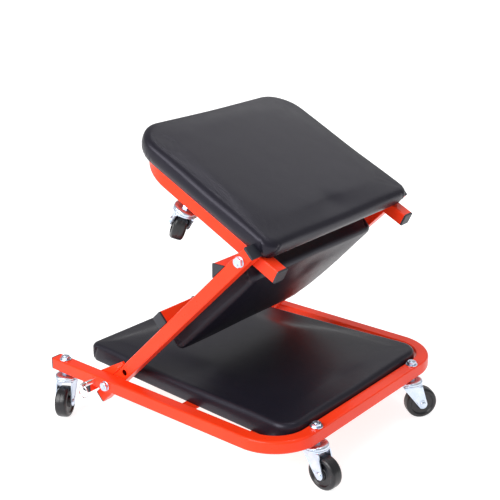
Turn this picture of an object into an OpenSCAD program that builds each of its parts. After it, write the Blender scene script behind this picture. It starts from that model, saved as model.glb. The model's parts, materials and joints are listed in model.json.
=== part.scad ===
// Folding creeper seat: a base section, a middle section and a top section, each a
// padded frame of square steel tube, joined by two hinges into a Z. As it stands here
// the middle section leans on its stop and the top section is part lowered on to its rest.
// Opened right out, the three sections lie in one line and it is a creeper board.
// Millimetres. +Z is up and the floor is z = 0. +X points to the rounded end of the base.
// The origin is on the floor under the middle of the outer box.
// In the middle section, s runs up the arms from the lower hinge and n is square to them,
// towards the pad. In the top section, t runs out from the upper hinge and n points to the pad.

/* [Base section] */
// Width over the side tubes of the base
base_w = 420; // [416:1:424]
// Lower hinge to the outer face of the rounded end
base_reach = 345; // [340:1:350]
// Lower hinge to the open ends of the side tubes
base_tail = 127; // [124:1:130]
// Outer radius of the two bends of the base
base_bend_r = 70; // [60:1:75]

/* [Tube] */
// Outer size of the square tube of all three frames
tube = 20; // [20]
// Wall of the square tube
tube_wall = 1.5; // [1.2:0.1:2]
// Size of the small square tube that the middle section stops against
stop_tube_w = 15; // [15]

/* [Middle section] */
// Lean of the middle section from the floor, on its stop
seat_deg = 44.71; // [44.2:0.01:45.2]
// Distance between the two hinges
arm_l = 359.07; // [355:0.01:363]
// Width over the two arms
mid_w = 377; // [377]
// Length of the arms below the lower hinge, with their end caps
arm_tail = 58.7; // [54:0.1:60]
// Length of the arms above the upper hinge, with their end caps
arm_head = 21.3; // [20:0.1:22]

/* [Top section] */
// Tilt of the top section from level, as it stands
top_tilt = 26.14; // [5:0.01:30]
// Width over the side tubes of the top section
top_w = 330; // [330]
// Upper hinge to the outer face of the rounded end
top_reach = 250; // [245:1:254]
// Length of the side tubes past the upper hinge, with their end caps
top_tail = 47.3; // [44:0.1:48]
// Outer radius of the two bends of the top section
top_bend_r = 75; // [65:1:78]

/* [Pads] */
// Thickness of the board under each pad
board_t = 9; // [7:0.5:10]
// Thickness of the base pad at its edge, with the board
base_pad_t = 28; // [24:1:30]
// Thickness of the middle pad at its edge, with the board
mid_pad_t = 32; // [26:1:33]
// Thickness of the top pad at its edge, with the board
top_pad_t = 26; // [22:1:28]
// How far the middle of the base pad stands above its edge
base_crown = 5; // [2:0.5:6]
// How far the middle of the middle pad stands above its edge
mid_crown = 9; // [2:0.5:10]
// How far the middle of the top pad stands above its edge
crown = 4; // [2:0.5:5]

/* [Casters] */
// Diameter of the wheels
wheel_d = 50; // [47:1:50]
// Width of the wheel tread
wheel_w = 19.5; // [17:0.5:20]
// Height of a caster from the floor to the tube that it is bolted to
caster_h = 70.4; // [70.4:0.2:74]
// How far the axle trails behind the swivel axis
trail = 17; // [15:0.5:18]
// Swivel of each base caster: front right, front left, rear right, rear left
base_swivels = [-5.3, 52.4, 300, 132]; // [-180:0.1:360]
// Swivel of each top caster: right, left
top_swivels = [50, 160]; // [0:0.1:360]

/* [Lock pin] */
// Diameter of the lock pin
pin_d = 8; // [8]
// Length of the lock pin
pin_l = 45.6; // [44:0.1:50]

/* [Hidden] */
$fn = 64;

paint = "#ff4a28";
vinyl = "#2b2a30";
plastic = "#2d3038";
zinc = "#c9d2da";
rubber = "#1d1d20";
ply = "#b08a5c";
foam = "#d8c98e";

half = tube / 2;
hx = -115.94;                         // lower hinge, along X
hz = caster_h + half;                 // lower hinge, above the floor
rim_r = 2.2;                          // rounding of the tube's edges
side_y = base_w / 2 - half;           // middle of a base side tube
arm_y = mid_w / 2 - half;             // middle of an arm
top_y = top_w / 2 - half;             // middle of a top side tube
fold_deg = 180 - top_tilt - seat_deg; // top section from the middle one
stop_drop = half + stop_tube_w;       // bottom of the stop tube, under the lower hinge
// the stop tube's corner that the arms lean on, 0.1 clear of them
stop_s = -(stop_drop + (half + 0.1) * cos(seat_deg)) / sin(seat_deg);
stop_x = stop_s * cos(seat_deg) - (half + 0.1) * sin(seat_deg);

bolt_r = 4;
run_r = 4.08;                         // a hole that turns on a bolt
fix_r = 4.15;                         // a hole that only holds one
lock_x = -28;                         // lock pin, from the lower hinge
lock_s = 28;                          // lock hole in the right arm
pin_tip = base_w / 2 - tube + 0.6;    // inner end of the lock pin as it stands
ring_r = 10.5;
ring_y = pin_tip + pin_l - 4.5;

front_x = base_reach - half;
front_y = 124.3;
rear_x = -103.35;
top_caster_t = 130;

// ---- placing ----
module base_at() translate([hx, 0, hz]) children();
module mid_at() translate([hx, 0, hz]) rotate([0, -seat_deg, 0]) mirror([0, 0, 1]) children();
module top_at() translate([hx, 0, hz]) rotate([0, -seat_deg, 0]) translate([arm_l, 0, 0])
    rotate([0, -fold_deg, 0]) mirror([0, 0, 1]) children();
base_spots = [[front_x, -front_y], [front_x, front_y], [rear_x, -side_y], [rear_x, side_y]];
module base_caster(i) base_at() translate([base_spots[i][0], base_spots[i][1], -half])
    rotate([0, 0, base_swivels[i]]) children();
module top_caster(i) top_at() translate([top_caster_t, (2 * i - 1) * top_y, -half])
    rotate([0, 0, top_swivels[i]]) children();
module along_y() rotate([-90, 0, 0]) children();

// ---- profiles ----
function arc(cx, cy, r, a0, a1, n) =
    [for (i = [0 : n]) let (a = a0 + (a1 - a0) * i / n) [cx + r * cos(a), cy + r * sin(a)]];
function round_rect(w, h, r) = concat(
    arc(w / 2 - r, h / 2 - r, r, 0, 90, 3), arc(r - w / 2, h / 2 - r, r, 90, 180, 3),
    arc(r - w / 2, r - h / 2, r, 180, 270, 3), arc(w / 2 - r, r - h / 2, r, 270, 360, 3));
// the outline of a pad: its two ends, half its width and the corner radius at each end
function pad_outline(o) = concat(
    arc(o[1] - o[5], o[3] - o[5], o[5], 0, 90, 9), arc(o[0] + o[4], o[2] - o[4], o[4], 90, 180, 6),
    arc(o[0] + o[4], o[4] - o[2], o[4], 180, 270, 6), arc(o[1] - o[5], o[5] - o[3], o[5], 270, 360, 9));
function inset(o, g) = [o[0] + g, o[1] - g, o[2] - g, o[3] - g, o[4] - g, o[5] - g];

// a solid bar with the tube's outside (g = 0) or inside (g = wall), along X
module bar_x(l, w, g) rotate([90, 0, 90]) linear_extrude(l)
    polygon(round_rect(w - 2 * g, w - 2 * g, max(rim_r - g, 0.7)));
module tube_x(l, w) difference() {
    bar_x(l, w, 0);
    translate([-1, 0, 0]) bar_x(l + 2, w, tube_wall);
}
// a U in the XY plane: open ends at x0, centre line of the end at x1, sides at y = +-hy
module u_solid(x0, x1, hy, rc, g) {
    for (m = [0, 1]) mirror([0, m, 0]) {
        translate([x0, hy, 0]) bar_x(x1 - rc - x0, tube, g);
        translate([x1 - rc, hy - rc, 0]) rotate_extrude(angle = 90) translate([rc, 0])
            polygon(round_rect(tube - 2 * g, tube - 2 * g, max(rim_r - g, 0.7)));
    }
    translate([x1, rc - hy, 0]) rotate([0, 0, 90]) bar_x(2 * (hy - rc), tube, g);
}
module u_tube(x0, x1, hy, rc) difference() {
    u_solid(x0, x1, hy, rc, 0);
    u_solid(x0 - 1, x1, hy, rc, tube_wall);
}
// an end cap on a tube whose mouth is at x = 0: a 3 mm head and a plug into +X
module end_cap(w) {
    translate([-3, 0, 0]) bar_x(3, w, 0);
    bar_x(12, w, tube_wall + 0.1);
}
module ring(ro, ri, h) difference() {
    cylinder(h = h, r = ro);
    translate([0, 0, -1]) cylinder(h = h + 2, r = ri);
}
module hex_nut(h) difference() {
    cylinder(h = h, r = 7.5, $fn = 6);
    translate([0, 0, -1]) cylinder(h = h + 2, r = fix_r);
}
// a screw that points to +Z, with its hex head under z = 0
module screw(l) {
    translate([0, 0, -3]) cylinder(h = 3, r = 4.6, $fn = 6);
    cylinder(h = l, r = 2.5);
}
// a pad with its board, board down: g = 0 is the outside, g = skin the foam inside the cover
skin = 1.2;
module pad_form(o, t, c, g) {
    linear_extrude(t - g) polygon(pad_outline(inset(o, g)));
    translate([0, 0, t - g]) linear_extrude(c) polygon(pad_outline(
        [o[0] + 18 + g, o[1] - 18 - g, o[2] - 18 - g, o[3] - 18 - g, max(o[4] - 8, 6), max(o[5] - 14, 8)]));
}
module board_form(o) linear_extrude(board_t) polygon(pad_outline(inset(o, 3)));
module foam_form(o, t, c) difference() {
    pad_form(o, t, c, skin);
    translate([o[0] - 10, -o[3] - 10, -1]) cube([o[1] - o[0] + 20, 2 * o[3] + 20, board_t + 1]);
}
module cover_form(o, t, c) difference() {
    pad_form(o, t, c, 0);
    foam_form(o, t, c);
    board_form(o);
}

// ---- casters, stem up, z = 0 at the tube ----
module stem(top) {
    translate([0, 0, -14.4]) cylinder(h = 14.4 + top, r = bolt_r);
    translate([0, 0, -4.4]) cylinder(h = 4.4, r = 7, $fn = 6);
    translate([0, 0, -17]) cylinder(h = 2.6, r = 7.5);
}
module race() rotate_extrude() polygon([[fix_r, -4.4], [14.5, -4.4], [17.6, -5.6], [18.5, -7.2],
    [18.5, -9.7], [16.9, -9.7], [16.9, -7.9], [14, -7.2], [fix_r, -7.2]]);
module balls() for (i = [0 : 11]) rotate([0, 0, 30 * i]) translate([11.5, 0, -9.4]) sphere(r = 2, $fn = 24);
axle_z = wheel_d / 2 - caster_h;
module yoke() {
    difference() {
        union() {
            rotate_extrude() polygon([[run_r, -11.6], [16.9, -11.6], [16.9, -10.1], [18.5, -10.1],
                [18.5, -12.6], [16.5, -14.1], [run_r, -14.1]]);
            for (m = [0, 1]) mirror([0, m, 0]) yoke_leg();
        }
        translate([0, 0, -20]) cylinder(h = 20, r = run_r);
        translate([trail, 20, axle_z]) rotate([90, 0, 0]) cylinder(h = 40, r = 3.1);
    }
}
module yoke_leg() {
    top_z = -15;
    da = atan2(top_z - axle_z, -15.5 - trail);
    db = atan2(top_z - axle_z, 15.5 - trail);
    a1 = da + acos(7 / norm([top_z - axle_z, 15.5 + trail]));
    a0 = db - acos(7 / norm([top_z - axle_z, 15.5 - trail]));
    translate([0, 13.8, 0]) rotate([90, 0, 0]) linear_extrude(2.5) polygon(concat(
        [[-15.5, -12.4], [-15.5, top_z]], arc(trail, axle_z, 7, a1, a0 + 360, 14),
        [[15.5, top_z], [15.5, -12.4]]));
    translate([-15.5, 10, -14.1]) cube([31, 3.8, 1.7]);
}
module axle() translate([trail, 0, axle_z]) along_y() {
    translate([0, 0, -14]) cylinder(h = 28, r = 3);
    for (m = [0, 1]) mirror([0, 0, m]) translate([0, 0, 13.8]) cylinder(h = 2, r1 = 5.2, r2 = 4.2);
}
module wheel() {
    r = wheel_d / 2;
    w = wheel_w / 2;
    translate([trail, 0, axle_z]) along_y() rotate_extrude($fn = 96) polygon(concat(
        [[3.08, -10.7], [8.5, -10.7], [9.5, -7.4], [18, -7.4], [20, -w]],
        arc(r - 4.5, 4 - w, 4.5, -63, -18, 4), arc(r - 30, 0, 30, -6, 6, 4),
        arc(r - 4.5, w - 4, 4.5, 18, 63, 4),
        [[20, w], [18, 7.4], [9.5, 7.4], [8.5, 10.7], [3.08, 10.7]]));
}

// ---- base section ----
module base_frame() color(paint) base_at() difference() {
    u_tube(3 - base_tail, base_reach - half, side_y, base_bend_r - half);
    for (m = [-1, 1]) translate([0, m * side_y - tube, 0]) along_y() cylinder(h = 2 * tube, r = fix_r);
    for (p = base_spots) translate([p[0], p[1], -tube]) cylinder(h = 2 * tube, r = fix_r);
    translate([lock_x, -side_y - tube, 0]) along_y() cylinder(h = 2 * tube, r = run_r);
}
module stop_tube() color(paint) base_at()
    translate([stop_x - stop_tube_w / 2, 3 - base_w / 2, -half - stop_tube_w / 2])
        rotate([0, 0, 90]) tube_x(base_w - 6, stop_tube_w);
// flat bars under the side tubes, joggled up between them by their own thickness
strap_y = side_y - half;
module base_cross_straps() color(paint) base_at() for (x = [133, 265]) difference() {
    translate([x - 12.5, 0, -half]) rotate([90, 0, 90]) linear_extrude(25) polygon(concat(
        [for (p = [[strap_y + 12, -3], [strap_y + 12, 0], [strap_y - 4, 0], [strap_y - 9, 3]]) p],
        [for (p = [[9 - strap_y, 3], [4 - strap_y, 0], [-strap_y - 12, 0], [-strap_y - 12, -3]]) p],
        [[2.8 - strap_y, -3], [7.8 - strap_y, 0], [strap_y - 7.8, 0], [strap_y - 2.8, -3]]));
    for (y = [-110, 110]) translate([x, y, -half - 5]) cylinder(h = 10, r = 2.65);
}
module base_tube_caps() color(plastic) base_at() {
    for (m = [-1, 1]) translate([3 - base_tail, m * side_y, 0]) end_cap(tube);
    for (m = [0, 1]) mirror([0, m, 0])
        translate([stop_x - stop_tube_w / 2, 3 - base_w / 2, -half - stop_tube_w / 2])
            rotate([0, 0, 90]) end_cap(stop_tube_w);
}
base_pad = [-102, base_reach - 21, base_w / 2 - 60.2, base_w / 2 - 38, 14, 30];
base_pad_z = 3 - half;
module base_pad_board() color(ply) base_at() difference() {
    translate([0, 0, base_pad_z]) board_form(base_pad);
    for (x = [133, 265], y = [-110, 110]) translate([x, y, base_pad_z - 1]) cylinder(h = 8, r = 2.6);
}
module base_pad_foam() color(foam) base_at() translate([0, 0, base_pad_z])
    foam_form(base_pad, base_pad_t, base_crown);
module base_pad_cover() color(vinyl) base_at() translate([0, 0, base_pad_z])
    cover_form(base_pad, base_pad_t, base_crown);
module base_pad_screws() color(zinc) base_at() for (x = [133, 265], y = [-110, 110])
    translate([x, y, -half]) screw(9.5);
module base_caster_stems() color(zinc) for (i = [0 : 3]) base_caster(i) stem(tube + 8.5);
module base_caster_washers() color(zinc) for (i = [0 : 3]) base_caster(i)
    translate([0, 0, tube]) ring(9, fix_r, 1.5);
module base_caster_nuts() color(zinc) for (i = [0 : 3]) base_caster(i)
    translate([0, 0, tube + 1.5]) hex_nut(5);
module base_caster_races() color(zinc) for (i = [0 : 3]) base_caster(i) race();
module base_caster_balls() color(zinc) for (i = [0 : 3]) base_caster(i) balls();

// hinge bolts and what is on them, for a bolt through faces at y = yo (outer) to yi (inner)
module hinge_bolt(yo, yi) for (m = [0, 1]) mirror([0, m, 0]) along_y() {
    translate([0, 0, yi - 8.2]) cylinder(h = yo + 1.5 - yi + 8.2, r = bolt_r);
    translate([0, 0, yo + 1.5]) cylinder(h = 4.6, r = 7.5, $fn = 6);
}
module hinge_washer(y, h) for (m = [0, 1]) mirror([0, m, 0]) translate([0, y, 0])
    along_y() ring(7.8, fix_r, h);
module hinge_nut(yi) for (m = [0, 1]) mirror([0, m, 0]) translate([0, yi - 6.7, 0])
    along_y() hex_nut(6.5);
module lower_hinge_bolts() color(zinc) base_at() hinge_bolt(base_w / 2, mid_w / 2 - tube);
module lower_hinge_washers() color(zinc) base_at() {
    hinge_washer(base_w / 2, 1.5);
    hinge_washer(mid_w / 2 + 0.1, base_w / 2 - tube - mid_w / 2 - 0.2);
}
module lower_hinge_nuts() color(zinc) base_at() hinge_nut(mid_w / 2 - tube);

// ---- middle section ----
module arm(lock) difference() {
    translate([3 - arm_tail, 0, 0]) tube_x(arm_tail + arm_l + arm_head - 6, tube);
    translate([0, -tube, 0]) along_y() cylinder(h = 2 * tube, r = run_r);
    translate([arm_l, -tube, 0]) along_y() cylinder(h = 2 * tube, r = fix_r);
    if (lock) translate([lock_s, -tube, 0]) along_y() cylinder(h = tube, r = 5.1);
}
module mid_arm_right() color(paint) mid_at() translate([0, -arm_y, 0]) arm(true);
module mid_arm_left() color(paint) mid_at() translate([0, arm_y, 0]) arm(false);
// the lock hole of the plate lies where the lock pin does when the arms are on their stop
plate_s = lock_x * cos(seat_deg);
plate_n = lock_x * sin(seat_deg);
module lock_plate() color(paint) mid_at() translate([0, 4 - mid_w / 2, 0]) rotate([90, 0, 0]) difference() {
    linear_extrude(4) polygon([[37, -half], [37, -15], [-13, -28], [-22, -30.3], [-28.5, -27],
        [-33, -19], [-33, -half]]);
    translate([plate_s, plate_n, -1]) cylinder(h = 6, r = 5.1);
}
module mid_cross_tube() color(paint) mid_at() difference() {
    translate([161, 3 - mid_w / 2, -tube]) rotate([0, 0, 90]) tube_x(mid_w - 6, tube);
    for (y = [-110, -40, 40, 110]) translate([161, y, -2 * tube]) cylinder(h = 2 * tube, r = 2.65);
}
module mid_tube_caps() color(plastic) mid_at() {
    for (m = [-1, 1]) translate([0, m * arm_y, 0]) {
        translate([3 - arm_tail, 0, 0]) end_cap(tube);
        translate([arm_l + arm_head - 3, 0, 0]) mirror([1, 0, 0]) end_cap(tube);
    }
    for (m = [0, 1]) mirror([0, m, 0]) translate([161, 3 - mid_w / 2, -tube])
        rotate([0, 0, 90]) end_cap(tube);
    for (m = [0, 1]) mirror([0, m, 0]) translate([0, mid_w / 2, 0]) {
        translate([0, -1, 0]) rest_prism(2, rest_h, rest_h);
        translate([0, -6, 0]) rest_prism(8, rest_h - 3.9, rest_h - 3.9);
    }
}
// the seat rest: an angle with its toes on the arms, level on top when the arms are on their stop
rest_s = arm_l - 44;
rest_h = 15.6;
module rest_prism(l, w, h) translate([rest_s, l / 2, -half]) rotate([90, 0, 0])
    linear_extrude(l) polygon([[-w, 0], [0, -h], [w, 0]]);
module seat_rest_angle() color(paint) mid_at() difference() {
    rest_prism(mid_w - 4, rest_h, rest_h);
    translate([0, 0, 1]) rest_prism(mid_w, rest_h - 2.54, rest_h - 2.54);
}
mid_pad_y = top_w / 2 - tube - 2;
mid_pad = [106, arm_l - 34, mid_pad_y, mid_pad_y, 8, 12];
module mid_pad_board() color(ply) mid_at() difference() {
    translate([0, 0, -half]) board_form(mid_pad);
    for (y = [-110, -40, 40, 110]) translate([161, y, -half - 1]) cylinder(h = 8, r = 2.6);
}
module mid_pad_foam() color(foam) mid_at() translate([0, 0, -half])
    foam_form(mid_pad, mid_pad_t, mid_crown);
module mid_pad_cover() color(vinyl) mid_at() translate([0, 0, -half])
    cover_form(mid_pad, mid_pad_t, mid_crown);
module mid_pad_screws() color(zinc) mid_at() for (y = [-110, -40, 40, 110])
    translate([161, y, -half - tube]) screw(tube + 6);
module upper_hinge_bolts() color(zinc) mid_at() translate([arm_l, 0, 0])
    hinge_bolt(mid_w / 2, top_w / 2 - tube);
module upper_hinge_washers() color(zinc) mid_at() translate([arm_l, 0, 0]) {
    hinge_washer(mid_w / 2, 1.5);
    hinge_washer(top_w / 2 + 0.1, (mid_w - top_w) / 2 - tube - 0.2);
}
module upper_hinge_nuts() color(zinc) mid_at() translate([arm_l, 0, 0]) hinge_nut(top_w / 2 - tube);

// ---- top section ----
top_screw_spots = [for (t = [80, 180], m = [-1, 1]) [t, m * top_y]];
module top_frame() color(paint) top_at() difference() {
    u_tube(3 - top_tail, top_reach - half, top_y, top_bend_r - half);
    for (m = [-1, 1]) {
        translate([0, m * top_y - tube, 0]) along_y() cylinder(h = 2 * tube, r = run_r);
        translate([top_caster_t, m * top_y, -tube]) cylinder(h = 2 * tube, r = fix_r);
    }
    for (p = top_screw_spots) translate([p[0], p[1], -tube]) cylinder(h = 2 * tube, r = 2.65);
}
module top_tube_caps() color(plastic) top_at() for (m = [-1, 1])
    translate([3 - top_tail, m * top_y, 0]) end_cap(tube);
top_pad_y = mid_w / 2 - tube - 0.8;
top_pad = [-22, top_reach + 5, top_pad_y, top_pad_y, 18, 50];
module top_pad_board() color(ply) top_at() difference() {
    translate([0, 0, half]) board_form(top_pad);
    for (m = [-1, 1]) translate([top_caster_t, m * top_y, 0]) cylinder(h = 40, r = 10.5);
    for (p = top_screw_spots) translate([p[0], p[1], 0]) cylinder(h = half + 7, r = 2.6);
}
module top_pad_foam() color(foam) top_at() translate([0, 0, half])
    foam_form(top_pad, top_pad_t, crown);
module top_pad_cover() color(vinyl) top_at() translate([0, 0, half])
    cover_form(top_pad, top_pad_t, crown);
module top_pad_screws() color(zinc) top_at() for (p = top_screw_spots)
    translate([p[0], p[1], -half]) screw(tube + 6);
module top_caster_stems() color(zinc) for (i = [0, 1]) top_caster(i) stem(tube + 7.5);
module top_caster_washers() color(zinc) for (i = [0, 1]) top_caster(i)
    translate([0, 0, tube]) ring(9, fix_r, 1.5);
module top_caster_nuts() color(zinc) for (i = [0, 1]) top_caster(i)
    translate([0, 0, tube + 1.5]) hex_nut(5);
module top_caster_races() color(zinc) for (i = [0, 1]) top_caster(i) race();
module top_caster_balls() color(zinc) for (i = [0, 1]) top_caster(i) balls();

// ---- lock pin, drawn out, and its ring ----
module lock_pin() color(zinc) base_at() translate([lock_x, -pin_tip - pin_l, 0]) difference() {
    along_y() {
        translate([0, 0, 1]) cylinder(h = pin_l - 3, r = pin_d / 2);
        translate([0, 0, pin_l - 2]) cylinder(h = 2, r1 = pin_d / 2, r2 = pin_d / 2 - 1.5);
        cylinder(h = 1, r1 = pin_d / 2 - 0.8, r2 = pin_d / 2);
    }
    translate([-10, 4.5, -0.4]) rotate([0, 90, 0]) cylinder(h = 20, r = 1.8);
}
module pull_ring() color(zinc) base_at() translate([lock_x, -ring_y, -ring_r]) rotate([90, 0, 0])
    rotate_extrude() translate([ring_r, 0]) circle(r = 1.2, $fn = 24);

// ---- swivelling yokes, axles and wheels ----
module yoke_front_right() color(zinc) base_caster(0) yoke();
module yoke_front_left() color(zinc) base_caster(1) yoke();
module yoke_rear_right() color(zinc) base_caster(2) yoke();
module yoke_rear_left() color(zinc) base_caster(3) yoke();
module yoke_top_right() color(zinc) top_caster(0) yoke();
module yoke_top_left() color(zinc) top_caster(1) yoke();
module axle_front_right() color(zinc) base_caster(0) axle();
module axle_front_left() color(zinc) base_caster(1) axle();
module axle_rear_right() color(zinc) base_caster(2) axle();
module axle_rear_left() color(zinc) base_caster(3) axle();
module axle_top_right() color(zinc) top_caster(0) axle();
module axle_top_left() color(zinc) top_caster(1) axle();
module wheel_front_right() color(rubber) base_caster(0) wheel();
module wheel_front_left() color(rubber) base_caster(1) wheel();
module wheel_rear_right() color(rubber) base_caster(2) wheel();
module wheel_rear_left() color(rubber) base_caster(3) wheel();
module wheel_top_right() color(rubber) top_caster(0) wheel();
module wheel_top_left() color(rubber) top_caster(1) wheel();

base_frame();
stop_tube();
base_cross_straps();
base_tube_caps();
base_pad_board();
base_pad_foam();
base_pad_cover();
base_pad_screws();
base_caster_stems();
base_caster_washers();
base_caster_nuts();
base_caster_races();
base_caster_balls();
lower_hinge_bolts();
lower_hinge_washers();
lower_hinge_nuts();
mid_arm_right();
mid_arm_left();
lock_plate();
mid_cross_tube();
mid_tube_caps();
seat_rest_angle();
mid_pad_board();
mid_pad_foam();
mid_pad_cover();
mid_pad_screws();
upper_hinge_bolts();
upper_hinge_washers();
upper_hinge_nuts();
top_frame();
top_tube_caps();
top_pad_board();
top_pad_foam();
top_pad_cover();
top_pad_screws();
top_caster_stems();
top_caster_washers();
top_caster_nuts();
top_caster_races();
top_caster_balls();
lock_pin();
pull_ring();
yoke_front_right();
yoke_front_left();
yoke_rear_right();
yoke_rear_left();
yoke_top_right();
yoke_top_left();
axle_front_right();
axle_front_left();
axle_rear_right();
axle_rear_left();
axle_top_right();
axle_top_left();
wheel_front_right();
wheel_front_left();
wheel_rear_right();
wheel_rear_left();
wheel_top_right();
wheel_top_left();
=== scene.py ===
import json
import math
import random

import bmesh
import bpy
import numpy as np
from mathutils import Matrix, Vector, noise

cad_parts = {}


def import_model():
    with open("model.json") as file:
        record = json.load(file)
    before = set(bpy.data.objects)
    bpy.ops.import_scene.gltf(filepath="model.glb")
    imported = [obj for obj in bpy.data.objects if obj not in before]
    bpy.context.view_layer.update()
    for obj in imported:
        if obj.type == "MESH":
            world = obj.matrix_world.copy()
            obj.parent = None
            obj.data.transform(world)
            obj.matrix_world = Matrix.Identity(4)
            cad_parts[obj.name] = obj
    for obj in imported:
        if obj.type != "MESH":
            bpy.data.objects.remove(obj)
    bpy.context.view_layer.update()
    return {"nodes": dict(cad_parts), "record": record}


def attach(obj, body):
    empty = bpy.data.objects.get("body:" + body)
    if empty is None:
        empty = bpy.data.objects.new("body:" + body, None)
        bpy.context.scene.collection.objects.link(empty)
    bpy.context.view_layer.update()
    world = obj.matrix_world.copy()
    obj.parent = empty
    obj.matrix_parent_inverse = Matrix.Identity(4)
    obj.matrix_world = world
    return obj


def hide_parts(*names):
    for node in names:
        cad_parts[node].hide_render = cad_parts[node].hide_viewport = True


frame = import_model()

MM = 0.001
rad = math.radians

# ---------------------------------------------------------------- frames of the object
HX, HZ, ARM = -115.94, 80.4, 359.07
SEAT, TILT = rad(44.71), rad(26.14)
EX, EY, EZ = Vector((1, 0, 0)), Vector((0, 1, 0)), Vector((0, 0, 1))
H1 = Vector((HX, 0, HZ))
ES = Vector((math.cos(SEAT), 0, math.sin(SEAT)))
NS = Vector((math.sin(SEAT), 0, -math.cos(SEAT)))
H2 = H1 + ARM * ES
ET = Vector((-math.cos(TILT), 0, math.sin(TILT)))
NT = Vector((math.sin(TILT), 0, math.cos(TILT)))


def basis(origin, ax, ay, az):
    m = Matrix.Identity(4)
    for col, v in enumerate((ax, ay, az, origin)):
        for row in range(3):
            m[row][col] = v[row] * MM
    return m


BASE = basis(H1, EX, EY, EZ)          # x, y, z from the lower hinge
MID = basis(H1, ES, EY, NS)           # s up the arms, y, n towards the pad
TOP = basis(H2, ET, EY, NT)           # t out from the upper hinge, y, n towards the pad
T = lambda x, y, z: Matrix.Translation((x, y, z))
RX = lambda a: Matrix.Rotation(rad(a), 4, "X")
RY = lambda a: Matrix.Rotation(rad(a), 4, "Y")
RZ = lambda a: Matrix.Rotation(rad(a), 4, "Z")
ALONG_Y = RX(-90)                     # local z runs along +y
MIRROR_Y = Matrix.Diagonal((1, -1, 1, 1))
CASTERS = ["front_right", "front_left", "rear_right", "rear_left", "top_right", "top_left"]
SPOTS = [(335, -124.3), (335, 124.3), (-103.35, -200), (-103.35, 200), (130, -155), (130, 155)]
SWIVELS = [-5.3, 52.4, 300, 132, 50, 160]
CM = [(BASE if i < 4 else TOP) @ T(SPOTS[i][0], SPOTS[i][1], -10) @ RZ(SWIVELS[i]) for i in range(6)]
TRAIL, AXLE_Z = 17.0, -45.4

# ---------------------------------------------------------------- materials


def new_material(name):
    m = bpy.data.materials.new(name)
    m.use_nodes = True
    t = m.node_tree
    t.nodes.clear()
    out = t.nodes.new("ShaderNodeOutputMaterial")
    bsdf = t.nodes.new("ShaderNodeBsdfPrincipled")
    t.links.new(bsdf.outputs[0], out.inputs[0])
    coord = t.nodes.new("ShaderNodeTexCoord")
    return m, t, bsdf, coord.outputs["Object"]


def mapped(t, coord, scale, rot=(0, 0, 0)):
    n = t.nodes.new("ShaderNodeMapping")
    n.inputs["Scale"].default_value = scale
    n.inputs["Rotation"].default_value = [rad(a) for a in rot]
    t.links.new(coord, n.inputs["Vector"])
    return n.outputs[0]


def noise_tex(t, vec, scale, detail=3.0, rough=0.5, distortion=0.0):
    n = t.nodes.new("ShaderNodeTexNoise")
    n.inputs["Scale"].default_value = scale
    n.inputs["Detail"].default_value = detail
    n.inputs["Roughness"].default_value = rough
    n.inputs["Distortion"].default_value = distortion
    t.links.new(vec, n.inputs["Vector"])
    return n.outputs[0]


def voronoi(t, vec, scale, feature="F1", rand=1.0):
    n = t.nodes.new("ShaderNodeTexVoronoi")
    n.feature = feature
    n.inputs["Scale"].default_value = scale
    n.inputs["Randomness"].default_value = rand
    t.links.new(vec, n.inputs["Vector"])
    return n.outputs["Distance"]


def ramp(t, fac, stops):
    n = t.nodes.new("ShaderNodeValToRGB")
    e = n.color_ramp.elements
    while len(e) < len(stops):
        e.new(0.5)
    for el, (p, c) in zip(e, stops):
        el.position = p
        el.color = (*c, 1) if len(c) == 3 else c
    t.links.new(fac, n.inputs[0])
    return n.outputs[0]


def span(t, fac, lo, hi, a=0.0, b=1.0):
    n = t.nodes.new("ShaderNodeMapRange")
    n.inputs["From Min"].default_value = a
    n.inputs["From Max"].default_value = b
    n.inputs["To Min"].default_value = lo
    n.inputs["To Max"].default_value = hi
    t.links.new(fac, n.inputs["Value"])
    return n.outputs[0]


def math_node(t, op, a, b=None):
    n = t.nodes.new("ShaderNodeMath")
    n.operation = op
    for i, v in enumerate((a, b)):
        if v is None:
            continue
        if isinstance(v, (int, float)):
            n.inputs[i].default_value = v
        else:
            t.links.new(v, n.inputs[i])
    return n.outputs[0]


def bump(t, bsdf, height, strength, distance, previous=None):
    n = t.nodes.new("ShaderNodeBump")
    n.inputs["Strength"].default_value = strength
    n.inputs["Distance"].default_value = distance
    t.links.new(height, n.inputs["Height"])
    if previous is not None:
        t.links.new(previous, n.inputs["Normal"])
    t.links.new(n.outputs[0], bsdf.inputs["Normal"])
    return n.outputs[0]


def make_paint():
    m, t, b, c = new_material("red_paint")
    big = noise_tex(t, c, 9, 3, 0.55)
    fine = noise_tex(t, c, 220, 2, 0.5)
    t.links.new(ramp(t, big, [(0.30, (0.80, 0.034, 0.006)), (0.55, (0.86, 0.041, 0.008)), (0.75, (0.90, 0.048, 0.010))]),
                b.inputs["Base Color"])
    t.links.new(span(t, fine, 0.24, 0.36), b.inputs["Roughness"])
    b.inputs["Specular IOR Level"].default_value = 0.20
    b.inputs["Coat Weight"].default_value = 0.08
    b.inputs["Coat Roughness"].default_value = 0.07
    b.inputs["Coat IOR"].default_value = 1.5
    peel = noise_tex(t, c, 420, 2, 0.45)
    n1 = bump(t, b, peel, 0.10, 0.0004)
    bump(t, b, noise_tex(t, c, 60, 2, 0.5), 0.10, 0.0012, n1)
    return m


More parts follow.
